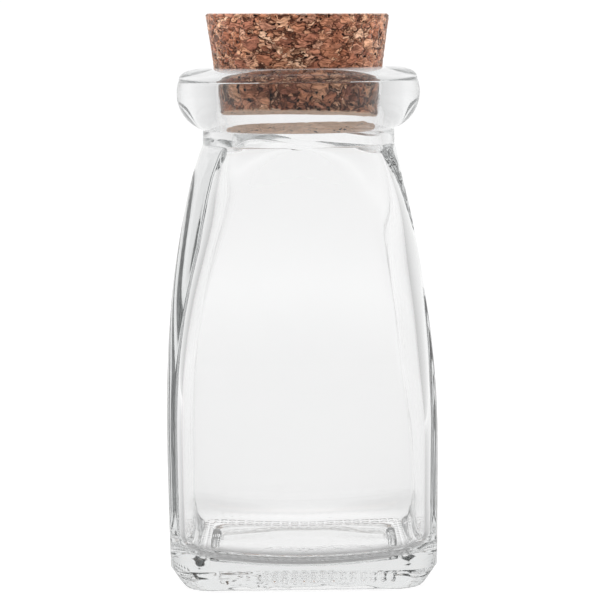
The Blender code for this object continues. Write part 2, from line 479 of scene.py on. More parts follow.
@dataclass(frozen=True)
class AgglomeratedCork:
    """Pressed cork: tan and brown granules, with painted shade in their seams and open pits and
    painted light underneath.
    """

    pattern: GranulePattern = GranulePattern()
    shades: tuple[tuple[float, tuple[float, float, float]], ...] = (
        (0.0, (0.22, 0.074, 0.04)),
        (0.22, (0.33, 0.122, 0.066)),
        (0.5, (0.46, 0.197, 0.112)),
        (0.78, (0.6, 0.318, 0.192)),
        (1.0, (0.78, 0.51, 0.35)),
    )
    shade_step: Step = (0.22, 0.8)
    streak_share: float = 0.55
    blotch_share: float = 0.25
    blotch_scale: float = 0.16
    rosy: Colour = (0.37, 0.155, 0.11, 1.0)
    rosy_step: Step = (0.6, 1.0)
    rosy_share: float = 0.5
    # Painted light: the down-facing underside is painted this paler colour, in place of the light
    # that reaches it from below through the glass.
    painted_underside_light: Colour = (1.0, 0.68, 0.48, 1.0)
    painted_underside_light_step: Step = (-0.9, -0.6)
    painted_underside_light_share: float = 0.8
    # Painted shade: the crevices between granules, sunk by the relief, are painted this near-black
    # brown as the shade in them.
    painted_seam_shade: Colour = (0.05, 0.017, 0.01, 1.0)
    # Painted shade: the open pits are painted near-black as the shade inside them.
    pit: Colour = (0.012, 0.005, 0.004, 1.0)
    streak_step: Step = (0.32, 0.66)
    streak_tone: Step = (0.5, 1.4)
    ridge_tone: float = 0.5
    bump_streak: float = 0.5
    bump_strength: float = 0.5
    bump_depth: float = 0.09 * MM
    roughness: float = 0.82
    gloss: float = 0.15
    fuzz: float = 0.8
    fuzz_roughness: float = 0.34
    fuzz_tint: Colour = (1.0, 0.89, 0.8, 1.0)

    def granule_colour(self, nodes: Nodes, place: object, grain: Granules) -> bpy.types.NodeSocket:
        """Colour of the granules before their shading.

        Args:
            nodes: The tree to lay the nodes in.
            place: Position on the cork in metres.
            grain: The granule pattern there.

        Returns:
            The colour's socket.
        """
        blotch = nodes.noise(nodes.scaled(place, 1 / MM), self.blotch_scale)
        level = nodes.mixed(self.streak_share, grain.pick, grain.streak)
        level = nodes.mixed(self.blotch_share, level, blotch)
        level = nodes.spread(level, *self.shade_step, 0.0, 1.0)
        rosy = nodes.spread(grain.hue, *self.rosy_step, 0.0, self.rosy_share)
        return nodes.blended(rosy, nodes.ramp(level, self.shades), self.rosy)

    def material(self) -> bpy.types.Material:
        """Builds the material.

        Returns:
            A matt, slightly fuzzy surface coloured granule by granule, with painted shade in the
            seams and pits and painted light on the underside.
        """
        made, nodes = new_finish("agglomerated_cork_finish")
        place = nodes.add("ShaderNodeTexCoord").outputs["Object"]
        grain = self.pattern.lay(nodes, place)
        facing = nodes.split(nodes.add("ShaderNodeNewGeometry").outputs["Normal"])
        # Painted light: faces turned down are painted paler, with weaker fibre shading and no dark
        # seams, in place of the light from below.
        end = nodes.spread(facing.outputs[2], *self.painted_underside_light_step, self.painted_underside_light_share, 0.0)
        colour = nodes.blended(end, self.granule_colour(nodes, place, grain), self.painted_underside_light)
        line = nodes.spread(grain.ridge, 0.0, 1.0, self.ridge_tone, 1.0)
        shade = nodes.spread(grain.streak, *self.streak_step, *self.streak_tone)
        shade = nodes.math("MULTIPLY", shade, line)
        tone = nodes.add("ShaderNodeCombineXYZ", in_0=shade, in_1=shade, in_2=shade)
        colour = nodes.blended(nodes.math("SUBTRACT", 1.0, end), colour, tone, "MULTIPLY")
        # Painted shade: the seams between granules are painted dark, except where the underside has
        # its painted light.
        colour = nodes.blended(nodes.math("MAXIMUM", grain.body, end), self.painted_seam_shade, colour)
        # Painted shade: near-black in the open pits.
        colour = nodes.blended(grain.solid, self.pit, colour)
        height = nodes.math("MULTIPLY", grain.body, grain.solid)
        height = nodes.math("ADD", height, nodes.math("MULTIPLY", grain.streak, self.bump_streak))
        bump = nodes.add(
            "ShaderNodeBump",
            in_Strength=self.bump_strength,
            in_Distance=self.bump_depth,
            in_Height=height,
        )
        surface = nodes.add(
            "ShaderNodeBsdfPrincipled",
            in_Base_Color=colour,
            in_Roughness=self.roughness,
            in_Specular_IOR_Level=self.gloss,
            in_Sheen_Weight=self.fuzz,
            in_Sheen_Roughness=self.fuzz_roughness,
            in_Sheen_Tint=self.fuzz_tint,
            in_Normal=bump,
        )
        nodes.add("ShaderNodeOutputMaterial", in_Surface=surface)
        return made


class Ring(NamedTuple):
    """A level ring of the glass's skin, a square with rounded corners.

    Attributes:
        half: Half-width of the square.
        corner: Radius of its corners.
        height: Height above the ground.
    """

    half: float
    corner: float
    height: float


def circle(radius: float, height: float) -> Ring:
    """A round ring."""
    return Ring(radius, radius, height)


@dataclass(frozen=True)
class RingSteps:
    """How many steps each stretch of the glass's outline is cut into."""

    push_up: int = 36
    bearing: int = 6
    heel: int = 18
    wall: int = 10
    shoulder: int = 26
    shoulder_end: int = 14
    bulge: int = 34
    crown: int = 16
    rim: int = 8
    grip: int = 4
    belly: int = 10
    seat: int = 14
    inner_shoulder_end: int = 12
    inner_wall: int = 9
    inner_heel: int = 12
    inner_floor: int = 10


@dataclass
class GlassBottle:
    """The moulding, from the push-up round the outside to the lip and down the inside."""

    height: float
    width: float
    finish: ClearGlass
    steps: RingSteps = RingSteps()

    # Walls and shoulders
    corner: float = 5.2 * MM
    draft: float = 0.25 * MM
    shoulder_start: float = 27.0 * MM
    shoulder_rounding: float = 20.0 * MM
    wall: float = 2.4 * MM
    wall_growth: float = 1.6
    inner_corner: float = 2.6 * MM
    left_excess: Table = ((50 * MM, 0.0), (76 * MM, 1.3 * MM))
    right_excess: Table = ((22 * MM, 0.3 * MM), (45 * MM, 1.8 * MM))
    inner_rounding: float = 1.0 * MM

    # Heel, base and floor
    heel_height: float = 4.2 * MM
    heel_inset: float = 2.7 * MM
    heel_rounding: float = 1.2
    base_corner: float = 4.6 * MM
    bearing_width: float = 3.2 * MM
    push_up: float = 1.3 * MM
    push_up_slope: float = 2.4 * MM
    base_thickness: float = 4.3 * MM
    inner_heel: float = 4.6 * MM
    corner_lift: float = 2.4 * MM
    corner_fade: float = 12.0 * MM

    # Dimples round the bearing ring, and dots and waves on the heel
    stipple_pitch: float = 1.75 * MM
    stipple_radius: float = 0.62 * MM
    stipple_depth: float = 0.32 * MM
    stipple_cuts: int = 3
    ground_slack: float = 0.01 * MM
    dot_heights: tuple[float, float] = (2.15 * MM, 3.2 * MM)
    dot_span: tuple[float, float] = (-7.0 * MM, 16.0 * MM)
    dot_radius: float = 0.7 * MM
    dot_squash: float = 1.25
    dot_depth: float = 0.42 * MM
    heel_wave: float = 0.22 * MM
    heel_wave_length: float = 1.4 * MM
    heel_wave_stretch: tuple[float, float] = (0.35, 1.5)
    heel_edge: float = 0.3 * MM
    heel_margin: float = 2.0 * MM
    level_slack: float = 0.02 * MM
    shortest_cut: float = 0.5 * MM

    # Rough moulding mark on the underside
    mark_wave: float = 0.2 * MM
    mark_lengths: tuple[float, float] = (0.9 * MM, 0.45 * MM)
    mark_seed: tuple[float, float, float] = (5.0, 0.0, 0.0)
    mark_middle: tuple[float, float] = (3.0 * MM, -11.0 * MM)
    mark_reach: tuple[float, float] = (13.0 * MM, 4.5 * MM)
    mark_fade: float = 4.0
    mark_level: tuple[float, float] = (0.9, 1.1)

    # Neck, lip and mouth
    neck: float = 17.5 * MM
    neck_length: float = 2.6 * MM
    neck_bore: float = 13.75 * MM
    lip: float = 22.15 * MM
    bulge_radius: float = 7.0 * MM
    widest_below_top: float = 4.7 * MM
    crown_height: float = 2.3 * MM
    crown_fullness: float = 0.84
    crease_nick: float = 0.12 * MM
    rim: float = 0.6 * MM
    mouth: float = 15.36 * MM
    grip_length: float = 2.4 * MM
    grip_narrowing: float = 0.3 * MM
    belly_swell: float = 0.1 * MM
    seat_top: float = 85.8 * MM
    seat_height: float = 3.8 * MM
    inner_drop: float = 0.8 * MM

    # How the blowing left the glass: its waves, its lean and the hollow's drift
    inner_wave: float = 0.16 * MM
    outer_wave: float = 0.03 * MM
    wave_length: float = 15.0 * MM
    wave_stretch: float = 0.55
    wave_fade: float = 8.0 * MM
    ripple: float = 2.7
    ripple_share: float = 0.3
    inner_seed: tuple[float, float, float] = (0.0, 0.0, 40.0)
    ripple_seed: tuple[float, float, float] = (17.0, 0.0, 0.0)
    still_core: float = 1.0 * MM
    lean: Table = (
        (30 * MM, 0.0),
        (60 * MM, -0.42 * MM),
        (72 * MM, -0.42 * MM),
        (80 * MM, 0.0),
    )
    drift: Table = (
        (4 * MM, 0.15 * MM),
        (35 * MM, 0.2 * MM),
        (75 * MM, 1.3 * MM),
        (78 * MM, 1.0 * MM),
        (84 * MM, 0.1 * MM),
        (92 * MM, 0.0),
    )

    # How the skin is cut into points
    quarter_points: int = 56
    crowding: float = math.radians(12.5)
    held: tuple[float, ...] = (0.04, 0.15, 0.5, 0.85, 0.96)

    def __post_init__(self) -> None:
        """Works out where the outline's stretches meet."""
        self.bulge_centre = self.lip - self.bulge_radius
        self.bulge_height = self.height - self.widest_below_top
        self.crease_height = self.height - self.crown_height
        foot = -math.acos((self.neck - self.bulge_centre) / self.bulge_radius)
        crease = math.asin((self.crease_height - self.bulge_height) / self.bulge_radius)
        self.bulge_arc = (foot, crease)
        self.neck_top = self.bulge_height + self.bulge_radius * math.sin(foot)
        self.shoulder_top = self.neck_top - self.neck_length
        rise = self.shoulder_top - self.shoulder_start
        narrowing = self.width / 2 - self.neck
        self.shoulder_radius = (rise**2 + narrowing**2) / (2 * narrowing)
        self.inner_top = self.shoulder_top - self.inner_drop
        self.inner_heel_top = self.base_thickness + self.inner_heel

    def side(self, height: float) -> float:
        """Half-width of the body's outside.

        Args:
            height: Height above the ground.

        Returns:
            The half-width there, slightly less towards the heel and much less up the shoulder.
        """
        if height < self.shoulder_start:
            below = (self.shoulder_start - height) / (self.shoulder_start - self.heel_height)
            return self.width / 2 - self.draft * below**2
        up = height - self.shoulder_start
        sweep = self.shoulder_radius - math.sqrt(self.shoulder_radius**2 - up**2)
        return self.width / 2 - sweep

    def inner_side(self, height: float) -> float:
        """Half-width of the hollow.

        Args:
            height: Height above the ground.

        Returns:
            The half-width there, with a wall that thickens up the shoulder.
        """
        share = max(0.0, (height - self.shoulder_start) / (self.inner_top - self.shoulder_start))
        top_wall = self.side(self.inner_top) - self.neck_bore
        return self.side(height) - between(self.wall, top_wall, share**self.wall_growth)

    @staticmethod
    def rounded_over(height: float, top: float, span: float, half: float, corner: float) -> float:
        """Corner radius that grows until the ring is round.

        Args:
            height: Height above the ground.
            top: Height at which the ring is round.
            span: How far below the top the radius begins to grow.
            half: Half-width of the ring.
            corner: Corner radius below the span.

        Returns:
            The corner radius there.
        """
        share = clamped((height - top + span) / span)
        return corner + (half - corner) * (1 - math.sqrt(1 - share**2))

    def shoulder_heights(self, top: float, rounding: float, even: int, end: int) -> list[float]:
        """Heights up the shoulder, closer together near its top.

        Args:
            top: The highest of them.
            rounding: How far below the top they begin to draw closer.
            even: How many even steps lie below that.
            end: How many steps draw closer.

        Returns:
            The heights, in rising order.
        """
        start = top - rounding
        below = [between(self.shoulder_start, start, share) for share in shares(even, 0, 1)]
        above = [start + rounding * math.sin(share * QUARTER_TURN) for share in shares(end)]
        return below + above

    def base_rings(self) -> list[Ring]:
        """Rings of the push-up, the bearing ring and the slanted heel.

        Returns:
            The rings, from the middle of the underside out and up.
        """
        foot = self.side(self.heel_height)
        bearing = foot - self.heel_inset
        inside = bearing - self.bearing_width
        inner_corner = self.base_corner * inside / bearing
        rings = []
        for share in shares(self.steps.push_up, 1, 1):
            half = inside * share
            corner = half * (1 - share) + inner_corner * share**2
            rise = eased(clamped((inside - half) / self.push_up_slope))
            rings.append(Ring(half, corner, self.push_up * rise))
        for share in shares(self.steps.bearing):
            corner = between(inner_corner, self.base_corner, share)
            rings.append(Ring(between(inside, bearing, share), corner, 0.0))
        for share in shares(self.steps.heel, 1):
            under = 1 - share
            corner = between(self.corner, self.base_corner, under)
            height = self.heel_height * share**self.heel_rounding
            rings.append(Ring(foot - self.heel_inset * under, corner, height))
        return rings

    def wall_rings(self) -> list[Ring]:
        """Rings of the four walls and the shoulders.

        Returns:
            The rings, from above the heel up to the foot of the neck.
        """
        rings = []
        for share in shares(self.steps.wall, 1, 1):
            height = between(self.heel_height, self.shoulder_start, share)
            rings.append(Ring(self.side(height), self.corner, height))
        top, span = self.shoulder_top, self.shoulder_rounding
        steps = (self.steps.shoulder, self.steps.shoulder_end)
        for height in self.shoulder_heights(top, span, *steps):
            half = self.side(height)
            corner = self.rounded_over(height, top, span, half, self.corner)
            rings.append(Ring(half, corner, height))
        return rings

    def lip_rings(self) -> list[Ring]:
        """Rings of the neck and the rolled lip.

        Returns:
            The rings, from the foot of the neck up to the crest of the lip.
        """
        rings = []
        for share in self.held:
            rings.append(circle(self.neck, self.shoulder_top + self.neck_length * share))
        for share in shares(self.steps.bulge):
            angle = between(*self.bulge_arc, share)
            radius = self.bulge_centre + self.bulge_radius * math.cos(angle)
            rings.append(circle(radius, self.bulge_height + self.bulge_radius * math.sin(angle)))
        crease = rings[-1].half
        nick = self.crease_nick
        rings.append(circle(crease - nick, self.crease_height - nick / 2))
        rings.append(circle(crease - nick / 3, self.crease_height))
        crest = self.mouth + self.rim
        for share in shares(self.steps.crown, 1):
            radius = between(crest, crease, math.cos(share * QUARTER_TURN) ** self.crown_fullness)
            rise = math.sin(share * QUARTER_TURN) ** self.crown_fullness
            rings.append(circle(radius, self.crease_height + self.crown_height * rise))
        return rings

    def mouth_rings(self) -> list[Ring]:
        """Rings of the rim, the grip on the cork, the belly under it and the seat.

        Returns:
            The rings, from the crest of the lip down to the foot of the seat.
        """
        rings = []
        for share in shares(self.steps.rim, 1):
            radius = self.mouth + self.rim * (1 - math.sin(share * QUARTER_TURN))
            height = self.height - self.rim * (1 - math.cos(share * QUARTER_TURN))
            rings.append(circle(radius, height))
        belly = self.mouth + self.belly_swell
        grip = self.mouth - self.grip_narrowing
        top = self.height - self.rim
        for share in shares(self.steps.grip, 1):
            radius = self.mouth - self.grip_narrowing * share
            rings.append(circle(radius, top - self.grip_length * share))
        top -= self.grip_length
        for share in shares(self.steps.belly, 1):
            height = between(top, self.seat_top, share)
            rings.append(circle(between(grip, belly, eased(share)), height))
        for share in shares(self.steps.seat, 1):
            height = self.seat_top - self.seat_height * share
            rings.append(circle(between(belly, self.neck_bore, eased(share)), height))
        return rings

    def hollow_rings(self) -> list[Ring]:
        """Rings of the bore and of the hollow's shoulders and walls.

        Returns:
            The rings, from the foot of the seat down to the inner heel.
        """
        top, span = self.inner_top, self.inner_rounding
        seat_foot = self.seat_top - self.seat_height
        rings = [circle(self.neck_bore, between(seat_foot, top, share)) for share in self.held]
        steps = (self.steps.shoulder, self.steps.inner_shoulder_end)
        for height in reversed(self.shoulder_heights(top, span, *steps)):
            half = self.inner_side(height)
            corner = self.rounded_over(height, top, span, half, self.inner_corner)
            rings.append(Ring(half, corner, height))
        for share in shares(self.steps.inner_wall, 1, 1):
            height = between(self.shoulder_start, self.inner_heel_top, share)
            rings.append(Ring(self.inner_side(height), self.inner_corner, height))
        return rings

    def floor_rings(self) -> list[Ring]:
        """Rings of the inner heel and the hollow's floor.

        Returns:
            The rings, from the inner heel down and in to the middle.
        """
        foot = self.inner_side(self.inner_heel_top)
        rings = []
        for share in shares(self.steps.inner_heel):
            inset = self.inner_heel * (1 - math.cos(share * QUARTER_TURN))
            height = self.inner_heel_top - self.inner_heel * math.sin(share * QUARTER_TURN)
            rings.append(Ring(foot - inset, self.inner_corner, height))
        floor = foot - self.inner_heel
        for share in shares(self.steps.inner_floor, 1, 1):
            half = floor * (1 - share)
            corner = half * share + self.inner_corner * (1 - share) ** 2
            rings.append(Ring(half, corner, self.base_thickness))
        return rings

    @staticmethod
    def reach(angle: float, half: float, corner: float) -> float:
        """Distance from the axis to a rounded square.

        Args:
            angle: Direction from the axis.
            half: Half-width of the square.
            corner: Radius of its corners.

        Returns:
            The distance in that direction.
        """
        fold = abs((angle + QUARTER_TURN / 2) % QUARTER_TURN - QUARTER_TURN / 2)
        straight = half - corner
        if math.tan(fold) * half <= straight:
            return half / math.cos(fold)
        inside = corner**2 - straight**2 * (1 - math.sin(2 * fold))
        return straight * (math.cos(fold) + math.sin(fold)) + math.sqrt(max(inside, 0.0))

    @staticmethod
    def along(table: Table, height: float) -> float:
        """Reads a table, easing from each height to the next.

        Args:
            table: Heights and their values.
            height: The height to read it at.

        Returns:
            The value, which keeps its first and last level beyond the table's ends.
        """
        for (low, start), (high, end) in zip(table, table[1:]):
            if height <= high:
                return between(start, end, eased(max(0.0, (height - low) / (high - low))))
        return table[-1][1]

    def excess(self, angle: float, height: float) -> float:
        """How much rounder the hollow's corners are further up, more so on the right."""
        return self.along(self.right_excess if math.cos(angle) > 0 else self.left_excess, height)

    def blown(self, place: Vector, inside: bool) -> Vector:
        """Moves a point as the blowing left it, off the mould's or the plunger's true shape.

        Args:
            place: A point of the true shape.
            inside: Whether it is on the hollow's side.

        Returns:
            The point with the glass's waves, its lean, and on the hollow's side its drift.
        """
        seen = Vector((place.x, place.y, place.z * self.wave_stretch)) / self.wave_length
        seed = Vector(self.inner_seed if inside else (0, 0, 0))
        level = noise.noise(seen + seed) * (1 - self.ripple_share)
        level += noise.noise(seen * self.ripple + Vector(self.ripple_seed)) * self.ripple_share
        shift = self.along(self.lean, place.z)
        if inside:
            swing = self.inner_wave * level
            shift += self.along(self.drift, place.z)
            lift = self.raised(place)
        else:
            swing = self.outer_wave * -abs(level)
            lift = self.marked(place)
        outwards = Vector((place.x, place.y, 0))
        if outwards.length > self.still_core:
            place = place + outwards.normalized() * (swing * clamped(place.z / self.wave_fade))
        return place + Vector((shift, 0, lift))

    def raised(self, place: Vector) -> float:
        """Rise of the hollow's floor into its corners.

        Args:
            place: A point of the hollow's true shape.

        Returns:
            The rise, which fades out up the walls.
        """
        near = max(0.0, 1 - (place.z - self.base_thickness) / self.corner_fade)
        out = place.x * place.y / (self.width / 2 - self.wall) ** 2
        return self.corner_lift * near * out**2

    def marked(self, place: Vector) -> float:
        """Rise of the underside's rough moulding mark.

        Args:
            place: A point of the outside's true shape.

        Returns:
            The rise, nothing off the top of the push-up.
        """
        low, high = (self.push_up * share for share in self.mark_level)
        if not low < place.z < high:
            return 0.0
        x, y = (
            (spot - middle) / reach
            for spot, middle, reach in zip(place.xy, self.mark_middle, self.mark_reach)
        )
        coarse, fine = (place / length for length in self.mark_lengths)
        rough = noise.noise(coarse) + noise.noise(fine + Vector(self.mark_seed))
        return self.mark_wave * rough * clamped((1 - math.hypot(x, y)) * self.mark_fade)

    def off_column(self, along: float) -> float:
        """Distance from the middle of the nearest mark of a row."""
        return ((along / self.stipple_pitch + 0.5) % 1.0 - 0.5) * self.stipple_pitch

    def stipple(self, mesh: bmesh.types.BMesh) -> None:
        """Presses two rows of small dimples round the bearing ring.

        Args:
            mesh: The skin, whose ring is cut finer for them.
        """
        ground = self.ground_slack
        flat = [face for face in mesh.faces if all(point.co.z < ground for point in face.verts)]
        edges = {edge for face in flat for edge in face.edges}
        cuts = self.stipple_cuts
        bmesh.ops.subdivide_edges(mesh, edges=list(edges), cuts=cuts, use_grid_fill=True)
        middle = self.side(self.heel_height) - self.heel_inset - self.bearing_width / 2
        for point in mesh.verts:
            if point.co.z > ground:
                continue
            across, along = sorted((abs(point.co.x), abs(point.co.y)), reverse=True)
            row = abs(abs(across - middle) - self.stipple_pitch / 2)
            away = math.hypot(row, self.off_column(along)) / self.stipple_radius
            point.co.z += self.stipple_depth * max(0.0, 1 - away**2)

    def dotted(self, mesh: bmesh.types.BMesh) -> None:
        """Presses two rows of dots and shallow waves into the slanted heel of each side.

        Args:
            mesh: The skin, whose heel is cut finer for them.
        """
        wide = self.side(self.heel_height) - self.heel_inset - self.heel_margin
        low, high = self.heel_edge, self.heel_height - self.heel_edge
        cut = set()
        for edge in mesh.edges:
            start, end = (point.co for point in edge.verts)
            level = abs(start.z - end.z) < self.level_slack and low < start.z < high
            out = max(abs(start.x), abs(start.y)) > wide
            if level and out and (end - start).length > self.shortest_cut:
                cut.add(edge)
        bmesh.ops.subdivide_edges(mesh, edges=list(cut), cuts=self.stipple_cuts)
        for point in mesh.verts:
            out = max(abs(point.co.x), abs(point.co.y)) >= wide
            if out and low / 2 < point.co.z < high:
                turn = round(math.atan2(point.co.y, point.co.x) / QUARTER_TURN) * QUARTER_TURN
                outward = Vector((math.cos(turn), math.sin(turn), 0))
                point.co -= outward * self.sunk(point.co, outward)

    def sunk(self, place: Vector, outward: Vector) -> float:
        """Depth of the heel's waves and dots.

        Args:
            place: A point of the heel.
            outward: The way out of its side.

        Returns:
            How far the glass lies under its true shape there.
        """
        across, up = self.heel_wave_stretch
        seen = Vector((place.x * across, place.y * across, place.z * up)) / self.heel_wave_length
        share = math.sin(math.pi * place.z / self.heel_height)
        depth = self.heel_wave * abs(noise.noise(seen)) * share
        along = place.dot(outward.cross(Vector((0, 0, -1))))
        if self.dot_span[0] < along < self.dot_span[1]:
            row = min(abs(place.z - height) for height in self.dot_heights)
            away = math.hypot(row * self.dot_squash, self.off_column(along)) / self.dot_radius
            depth += self.dot_depth * max(0.0, 1 - away**2) ** 2
        return depth

    def directions(self) -> list[float]:
        """Directions of a ring's points.

        Returns:
            The angles, crowded at the upright edges.
        """
        found = []
        for quarter in range(4):
            for share in shares(self.quarter_points, 0, 1):
                even = (quarter + share) * QUARTER_TURN
                found.append(even + self.crowding * math.sin(math.tau * share))
        return found

    def skin(self) -> bmesh.types.BMesh:
        """Draws one closed skin up the outside and down the inside.

        Returns:
            The mesh, with its faces out.
        """
        mesh = bmesh.new()
        directions = self.directions()
        count = len(directions)
        bmesh.ops.create_circle(mesh, cap_ends=True, cap_tris=True, segments=count, radius=1)
        middle = min(mesh.verts, key=lambda point: point.co.length)
        middle.co.z = self.push_up
        outline = [point for point in mesh.verts if point is not middle]
        outline.sort(key=lambda point: math.atan2(point.co.y, point.co.x) % math.tau)
        outer = self.base_rings() + self.wall_rings() + self.lip_rings()
        inner = self.mouth_rings() + self.hollow_rings() + self.floor_rings()
        for number, ring in enumerate(outer + inner):
            inside = number >= len(outer)
            if number:
                outline = self.drawn(mesh, outline)
            for point, angle in zip(outline, directions):
                wider = self.excess(angle, ring.height) if inside else 0.0
                reach = self.reach(angle, ring.half, min(ring.corner + wider, ring.half))
                place = Vector((reach * math.cos(angle), reach * math.sin(angle), ring.height))
                point.co = self.blown(place, inside)
        tip = self.drawn(mesh, outline)
        floor = self.blown(Vector((0, 0, self.base_thickness)), True)
        bmesh.ops.pointmerge(mesh, verts=tip, merge_co=floor)
        self.stipple(mesh)
        self.dotted(mesh)
        bmesh.ops.recalc_face_normals(mesh, faces=mesh.faces)
        return mesh

    @staticmethod
    def drawn(
        mesh: bmesh.types.BMesh, outline: list[bmesh.types.BMVert]
    ) -> list[bmesh.types.BMVert]:
        """Extrudes an open outline.

        Args:
            mesh: The mesh that has it.
            outline: Its points in order.

        Returns:
            The new points in the same order.
        """
        edges = [mesh.edges.get((outline[i - 1], outline[i])) for i in range(len(outline))]
        made = bmesh.ops.extrude_edge_only(mesh, edges=edges)["geom"]
        fresh = {item for item in made if isinstance(item, bmesh.types.BMVert)}
        paired = []
        for point in outline:
            others = (edge.other_vert(point) for edge in point.link_edges)
            paired.append(next(other for other in others if other in fresh))
        return paired

    def build(self) -> bpy.types.Object:
        """Builds and dresses the glass.

        Returns:
            The piece, riding on the bottle's body in place of its solid.
        """
        piece = finished("bottle_glass", self.skin())
        piece.data.shade_smooth()
        piece.data.materials.append(self.finish.material())
        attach(piece, Body.BOTTLE.value)
        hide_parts("glass_bottle")
        return piece


@dataclass
class CorkStopper:
    """The tapered cork, turned to its outline and roughened by its granules."""

    low: Vector
    high: Vector
    finish: AgglomeratedCork
    taper: float = math.radians(7.6)
    edge: float = 0.35 * MM
    top_skew: float = math.tan(math.radians(0.66))
    bottom_skew: float = math.tan(math.radians(1.5))
    around: int = 380
    side_step: float = 0.24 * MM
    end_step: float = 0.42 * MM
    weld: float = 0.001 * MM
    seam_depth: float = 0.13 * MM
    pit_depth: float = 0.22 * MM
    grain_depth: float = 0.05 * MM
    swell_depth: float = 0.05 * MM

    def outline(self) -> list[tuple[float, float]]:
        """Outline that the cork is turned to.

        Returns:
            Radius and height of points from the bottom's middle to the top's middle.
        """
        top_radius = self.high.x
        bottom, top = self.low.z, self.high.z
        low_radius = top_radius - (top - bottom) * math.tan(self.taper)
        corners = [
            (0.0, bottom),
            (low_radius - self.edge, bottom),
            (low_radius, bottom + self.edge),
            (top_radius, top - self.edge),
            (top_radius - self.edge, top),
            (0.0, top),
        ]
        points = [corners[0]]
        for start, end in zip(corners, corners[1:]):
            step = self.side_step if abs(end[1] - start[1]) > self.edge / 2 else self.end_step
            for share in shares(max(2, round(math.dist(start, end) / step)), 1):
                points.append((between(start[0], end[0], share), between(start[1], end[1], share)))
        return points

    def turned(self) -> bmesh.types.BMesh:
        """Spins the outline round the axis.

        Returns:
            A closed solid with skewed ends, its faces out.
        """
        mesh = bmesh.new()
        points = [mesh.verts.new((radius, 0, height)) for radius, height in self.outline()]
        edges = [mesh.edges.new(pair) for pair in zip(points, points[1:])]
        bmesh.ops.spin(
            mesh,
            geom=points + edges,
            axis=(0, 0, 1),
            cent=(0, 0, 0),
            angle=math.tau,
            steps=self.around,
            use_merge=True,
        )
        bmesh.ops.remove_doubles(mesh, verts=mesh.verts, dist=self.weld)
        self.skew(mesh)
        bmesh.ops.recalc_face_normals(mesh, faces=mesh.faces)
        return mesh

    def skew(self, mesh: bmesh.types.BMesh) -> None:
        """Skews both ends a little, the top lower at the right and the bottom higher at the left.

        Args:
            mesh: The cork with square ends.
        """
        reach = self.high.x
        for point in mesh.verts:
            share = (point.co.z - self.low.z) / (self.high.z - self.low.z)
            drop = self.top_skew * (reach + point.co.x) * share
            lift = self.bottom_skew * (reach - point.co.x) * (1 - share)
            point.co.z += max(lift, 0.0) - max(drop, 0.0)

    def relief(self) -> bpy.types.NodeTree:
        """Lays the nodes that sink the granules' seams, pits and fibres into a surface.

        Returns:
            The geometry node tree.
        """
        tree = bpy.data.node_groups.new("granule_relief", "GeometryNodeTree")
        for way in ("INPUT", "OUTPUT"):
            tree.interface.new_socket("Geometry", in_out=way, socket_type="NodeSocketGeometry")
        nodes = Nodes(tree)
        grain = self.finish.pattern.lay(nodes, nodes.add("GeometryNodeInputPosition"))
        depth = 0.0
        for level, most in (
            (grain.body, self.seam_depth),
            (grain.solid, self.pit_depth),
            (grain.streak, self.grain_depth),
            (grain.swell, self.swell_depth),
        ):
            sunk = nodes.math("MULTIPLY", nodes.math("SUBTRACT", level, 1.0), most)
            depth = nodes.math("ADD", depth, sunk)
        shift = nodes.scaled(nodes.add("GeometryNodeInputNormal"), depth)
        turned = nodes.add("NodeGroupInput").outputs[0]
        moved = nodes.add("GeometryNodeSetPosition", in_Geometry=turned, in_Offset=shift)
        nodes.add("NodeGroupOutput", in_Geometry=moved)
        return tree

    def roughen(self, piece: bpy.types.Object) -> None:
        """Presses the relief into the cork for good.

        Args:
            piece: The turned cork, whose mesh is replaced.
        """
        granules = piece.modifiers.new("granules", "NODES")
        granules.node_group = self.relief()
        shaped = piece.evaluated_get(bpy.context.evaluated_depsgraph_get())
        data = bpy.data.meshes.new_from_object(shaped)
        piece.modifiers.remove(granules)
        piece.data = data

    def build(self) -> bpy.types.Object:
        """Builds and dresses the cork.

        Returns:
            The piece, riding on the cork's body in place of its solid.
        """
        piece = finished("cork_granules", self.turned())
        piece.data.shade_smooth()
        self.roughen(piece)
        piece.data.shade_smooth()
        piece.data.materials.append(self.finish.material())
        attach(piece, Body.CORK.value)
        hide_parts("cork_stopper")
        return piece


class SoftBox(NamedTuple):
    """A square soft lamp, with its share of the studio's energy."""

    name: str
    place: tuple[float, float, float]
    size: float
    share: float


